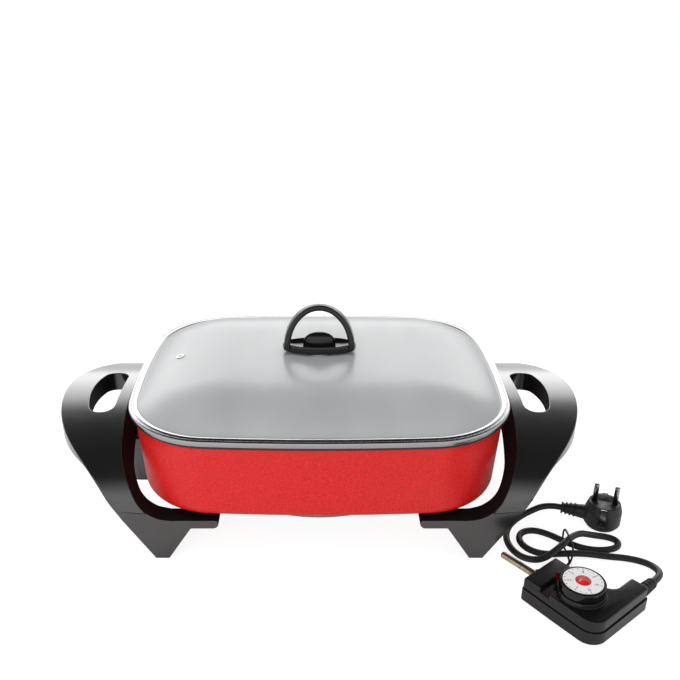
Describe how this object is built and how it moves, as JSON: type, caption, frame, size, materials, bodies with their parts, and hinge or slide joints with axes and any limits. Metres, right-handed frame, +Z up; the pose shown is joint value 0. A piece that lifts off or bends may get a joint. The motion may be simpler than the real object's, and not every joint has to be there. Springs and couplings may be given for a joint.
{
  "type": "electric skillet",
  "caption": "Rectangular electric skillet on arched leg handles, with a domed glass lid and an unplugged thermostat control with its folded cord.",
  "frame": {"origin": "on the table under the middle of the pan", "axes": "+X along the pan towards the end without the socket, +Y to its rear side, +Z up"},
  "size_m": [0.5649, 0.3889, 0.2021],
  "materials": {
    "pan_red": "satin",
    "cast_aluminium": "rough",
    "steel": "satin",
    "bright_steel": "polished",
    "brass": "satin",
    "black_handle": "satin gloss",
    "black_gloss": "gloss",
    "silicone": "matt",
    "ceramic": "matt",
    "white_print": "matt",
    "red_plastic": "gloss",
    "cord_black": "matt",
    "plug_black": "matt",
    "resistor_tan": "matt",
    "dark_lens": "gloss",
    "glass_clear": "gloss"
  },
  "bodies": {
    "skillet": {"pan": "pan_red", "heater_plate": "cast_aluminium", "heating_element": "steel", "contact_pins": "bright_steel", "ceramic_bushes": "ceramic", "probe_tube": "steel", "earth_contact": "steel", "socket_guard": "black_handle", "guard_screws": "steel", "handle_left": "black_handle", "handle_right": "black_handle", "heat_washers": "steel", "spring_washers": "steel", "leg_screws": "steel"},
    "lid": {"lid_glass": "glass_clear", "lid_band": "bright_steel", "vent_eyelet": "bright_steel", "knob": "black_gloss", "knob_insert": "brass", "upper_washer": "silicone", "lower_washer": "silicone", "cup_washer": "steel", "knob_screw": "steel"},
    "control": {"bimetal_strip": "steel", "calibration_screw": "brass", "clamp_screws": "steel", "contact_spring": "brass", "control_lower_shell": "black_gloss", "control_upper_shell": "black_gloss", "cord": "cord_black", "cord_clamp": "plug_black", "female_contacts": "brass", "lamp": "glass_clear", "lamp_lens": "dark_lens", "lamp_resistor": "resistor_tan", "plug_body": "plug_black", "plug_earth_strips": "bright_steel", "plug_pins": "bright_steel", "probe": "steel", "probe_collar": "brass", "rivet_contacts": "bright_steel", "shell_screws": "steel", "strain_relief": "cord_black", "thermostat_bracket": "steel", "wire_tie": "cord_black"},
    "dial": {"dial_knob": "black_gloss", "dial_plate": "white_print", "dial_cap": "red_plastic", "dial_spindle": "steel"}
  },
  "joints": [
    {"name": "lid_lift", "type": "slide", "parent": "skillet", "child": "lid", "axis": [0, 0, 1], "range_m": [0, 0.12]},
    {"name": "control_lift", "type": "slide", "parent": "skillet", "child": "control", "axis": [0.7071, 0, 0.7071], "range_m": [0, 0.15]},
    {"name": "dial_turn", "type": "hinge", "parent": "control", "child": "dial", "pos_m": [0.219, -0.206, 0.03], "axis": [0, 0, 1], "range_deg": [-280, 0]}
  ]
}
